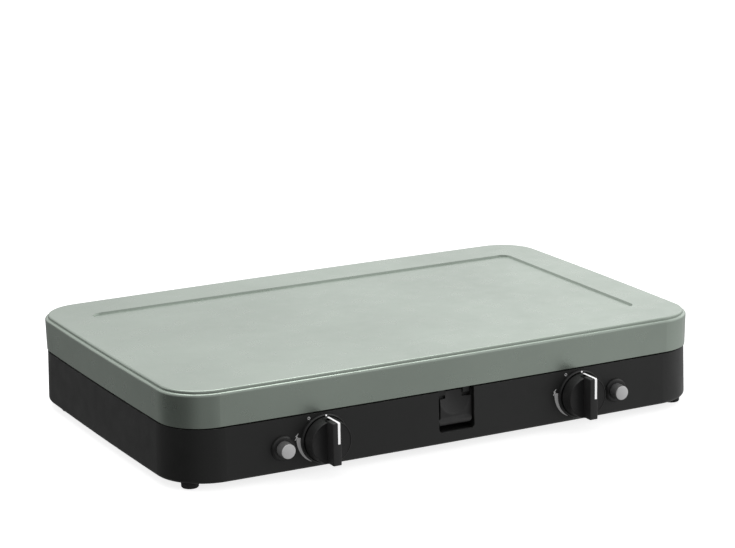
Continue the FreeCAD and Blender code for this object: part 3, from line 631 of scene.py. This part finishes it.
def add_camera():
    data = bpy.data.cameras.new("camera")
    data.lens = CAMERA_LENS
    data.sensor_width = 36.0
    data.clip_end = 50.0
    camera = bpy.data.objects.new("camera", data)
    yaw = radians(CAMERA_YAW)
    pitch = radians(CAMERA_PITCH)
    roll = radians(CAMERA_ROLL)
    back = Vector((sin(yaw) * cos(pitch), -cos(yaw) * cos(pitch), sin(pitch)))
    level = (-back).cross(Vector((0, 0, 1))).normalized()
    upright = level.cross(-back)
    right = level * cos(roll) + upright * sin(roll)
    up = upright * cos(roll) - level * sin(roll)
    turn = Matrix((right, up, back)).transposed().to_4x4()
    aim = Vector((0, 0, AIM_HEIGHT))
    place = aim + back * CAMERA_DISTANCE - right * CAMERA_OFFSET[0] - up * CAMERA_OFFSET[1]
    camera.matrix_world = Matrix.Translation(place) @ turn
    bpy.context.scene.collection.objects.link(camera)
    bpy.context.scene.camera = camera


def add_area_light(name, place, target, size, watts, shows=True):
    data = bpy.data.lights.new(name, "AREA")
    data.shape = "RECTANGLE"
    data.size = size[0]
    data.size_y = size[1]
    data.energy = watts
    light = bpy.data.objects.new(name, data)
    light.location = place
    light.rotation_euler = (Vector(target) - Vector(place)).to_track_quat("-Z", "Y").to_euler()
    light.visible_glossy = shows
    bpy.context.scene.collection.objects.link(light)


def add_world():
    """Studio surroundings: bright above and behind, dim in front, a dark flag at the far left."""
    world = bpy.data.worlds.new("studio")
    world.use_nodes = True
    nodes = world.node_tree.nodes
    links = world.node_tree.links
    direction = nodes.new("ShaderNodeSeparateXYZ")
    links.new(nodes.new("ShaderNodeTexCoord").outputs["Generated"], direction.inputs["Vector"])

    def ramp(axis, low, high, start, end):
        node = nodes.new("ShaderNodeMapRange")
        node.interpolation_type = "SMOOTHSTEP"
        names = ("From Min", "From Max", "To Min", "To Max")
        for name, value in zip(names, (low, high, start, end)):
            node.inputs[name].default_value = value
        links.new(direction.outputs[axis], node.inputs["Value"])
        return node.outputs["Result"]

    def combine(kind, first, second):
        node = nodes.new("ShaderNodeMath")
        node.operation = kind
        links.new(first, node.inputs[0])
        links.new(second, node.inputs[1])
        return node.outputs["Value"]

    height = combine("MULTIPLY", ramp("Z", -0.10, 0.30, 0.0, 1.0), ramp("X", 0.28, 0.62, 0.76, 1.0))
    behind = ramp("Y", -0.70, 0.60, SKY_FRONT, SKY_BACK)
    flag = ramp("X", -1.0, -0.30, FLAG_LIGHT, 1.0)
    low = combine("MULTIPLY", flag, ramp("X", 0.20, 0.68, LOW_LEFT, LOW_RIGHT))
    total = combine("ADD", low, combine("MULTIPLY", height, behind))
    background = nodes["Background"]
    background.inputs["Color"].default_value = (1.0, 1.0, 1.0, 1.0)
    links.new(total, background.inputs["Strength"])
    bpy.context.scene.world = world


def add_lights():
    add_world()
    add_area_light("top_softbox", (0.2, 0.7, 2.4), (0, 0, 0.05), (2.2, 1.6), TOP_WATTS)
    add_area_light("front_fill", (1.9, -2.1, 0.8), (0.1, 0, 0.05), (1.6, 1.2), FILL_WATTS, False)
    add_area_light("left_fill", (-2.7, -0.4, 0.4), (0, 0, 0.04), (1.2, 1.0), LEFT_WATTS, False)


def add_floor():
    """A plain white floor, which the object neither mirrors nor takes light from."""
    mesh = bpy.data.meshes.new("floor")
    form = bmesh.new()
    bmesh.ops.create_grid(form, x_segments=8, y_segments=8, size=FLOOR_REACH)
    form.to_mesh(mesh)
    form.free()
    floor = bpy.data.objects.new("floor", mesh)
    g = Graph("pale_floor")
    tone = g.mix(g.noise(3.0), (0.50, 0.50, 0.50), (0.52, 0.52, 0.52))
    g.shader.inputs["Emission Color"].default_value = (1.0, 1.0, 1.0, 1.0)
    g.shader.inputs["Emission Strength"].default_value = FLOOR_GLOW
    mesh.materials.append(g.finish(tone, 0.9))
    floor.visible_glossy = False
    floor.visible_diffuse = False
    bpy.context.scene.collection.objects.link(floor)


add_camera()
add_lights()
add_floor()
bpy.context.scene.view_settings.view_transform = "Standard"
paint_cad_nodes()
add_details()
